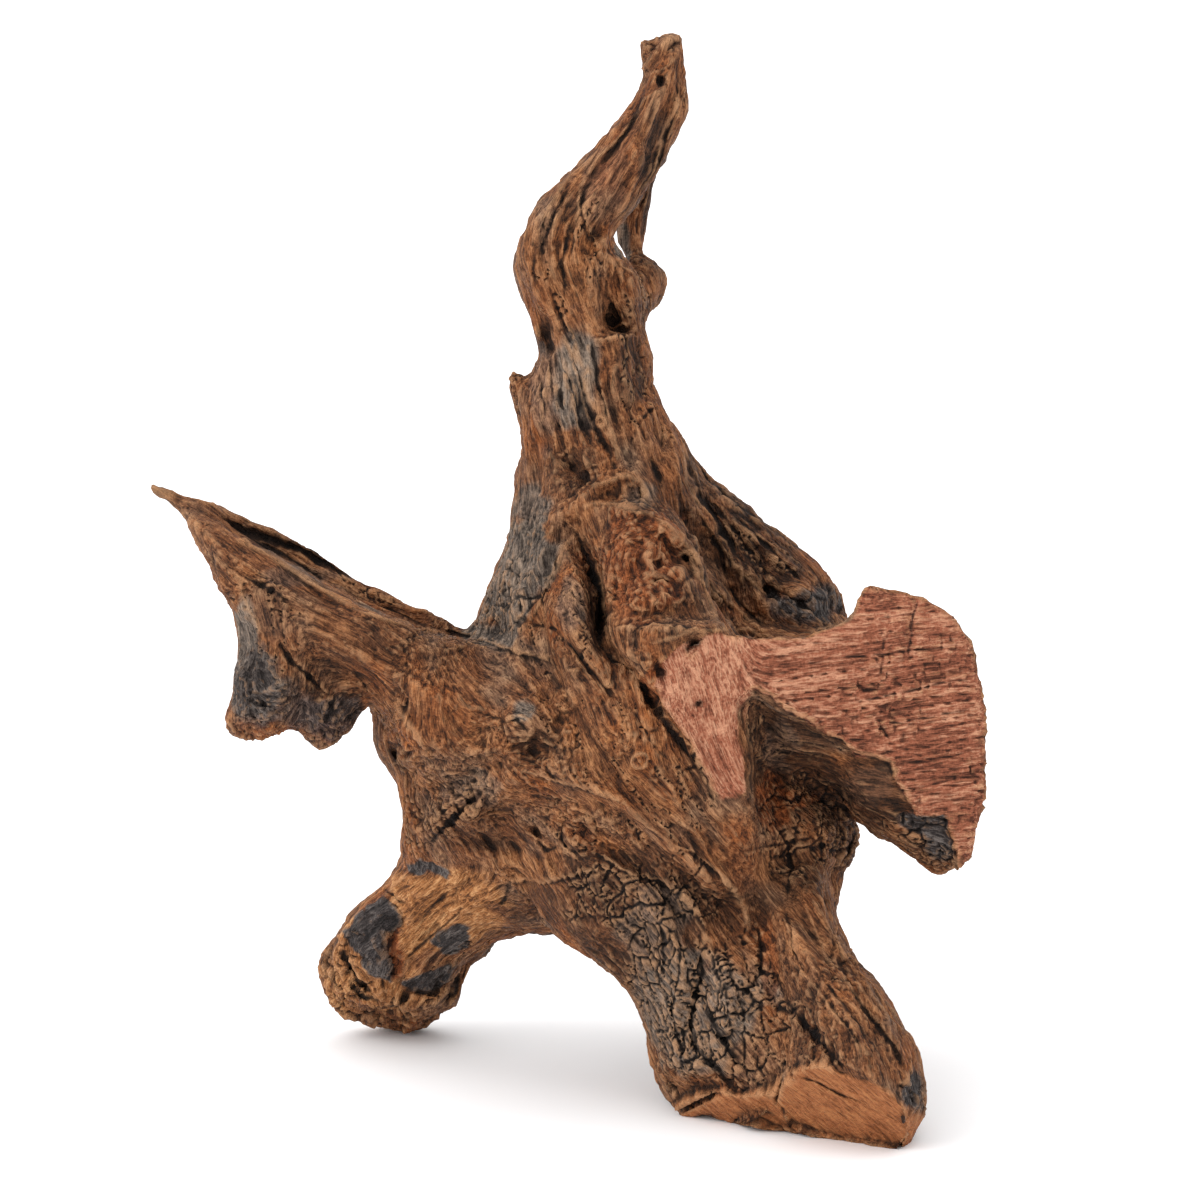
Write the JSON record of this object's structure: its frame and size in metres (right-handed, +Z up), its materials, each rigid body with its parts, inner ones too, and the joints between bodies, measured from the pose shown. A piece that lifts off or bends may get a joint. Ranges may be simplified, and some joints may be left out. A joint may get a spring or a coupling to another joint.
{
  "type": "driftwood",
  "caption": "Weathered driftwood root stump that stands on three root ends, with a twisted spire, a side arm and a sawn slab.",
  "frame": {"origin": "on the floor, under the middle of the driftwood's box", "axes": "+Z up along the spire, -Y towards the sawn face, +X towards the slab"},
  "size_m": [0.3222, 0.2128, 0.4157],
  "materials": {
    "driftwood_wood": "weathered brown root wood with grey and charred patches, cracked along and across the grain, and a pinkish sawn face"
  },
  "bodies": {
    "root": {"driftwood": "driftwood_wood"}
  },
  "joints": []
}
